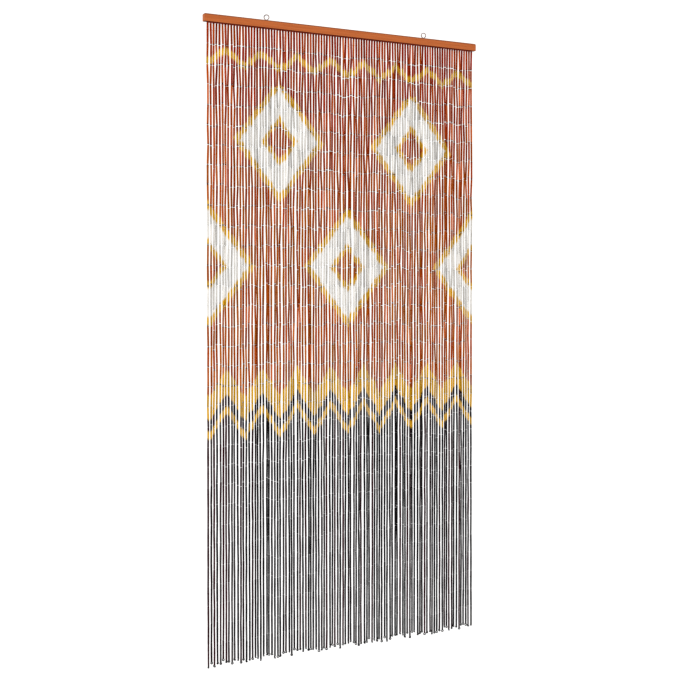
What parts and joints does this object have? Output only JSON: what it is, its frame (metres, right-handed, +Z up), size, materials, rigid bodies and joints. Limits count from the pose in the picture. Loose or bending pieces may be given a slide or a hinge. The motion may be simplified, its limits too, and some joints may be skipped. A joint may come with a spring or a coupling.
{
  "type": "bamboo fly screen curtain with header bar",
  "caption": "Door curtain of short painted bamboo tubes linked end to end by wire loops into strands, hung in a row from a wooden bar with screw eyes on top.",
  "frame": {"origin": "middle of the header bar's top face, between the screw eyes", "axes": "+X along the bar to the viewer's right, +Y away from the viewer through the curtain, +Z up"},
  "size_m": [0.99, 0.015, 2.0182],
  "materials": {
    "bar_wood": "orange-brown stain, satin",
    "painted_bamboo": "thin matt paint over bamboo",
    "steel_wire": "bright drawn wire"
  },
  "bodies": {
    "root": {"header_bar": "bar_wood", "screw_eye_left": "steel_wire", "screw_eye_right": "steel_wire", "bead_strands": "painted_bamboo"}
  },
  "joints": []
}
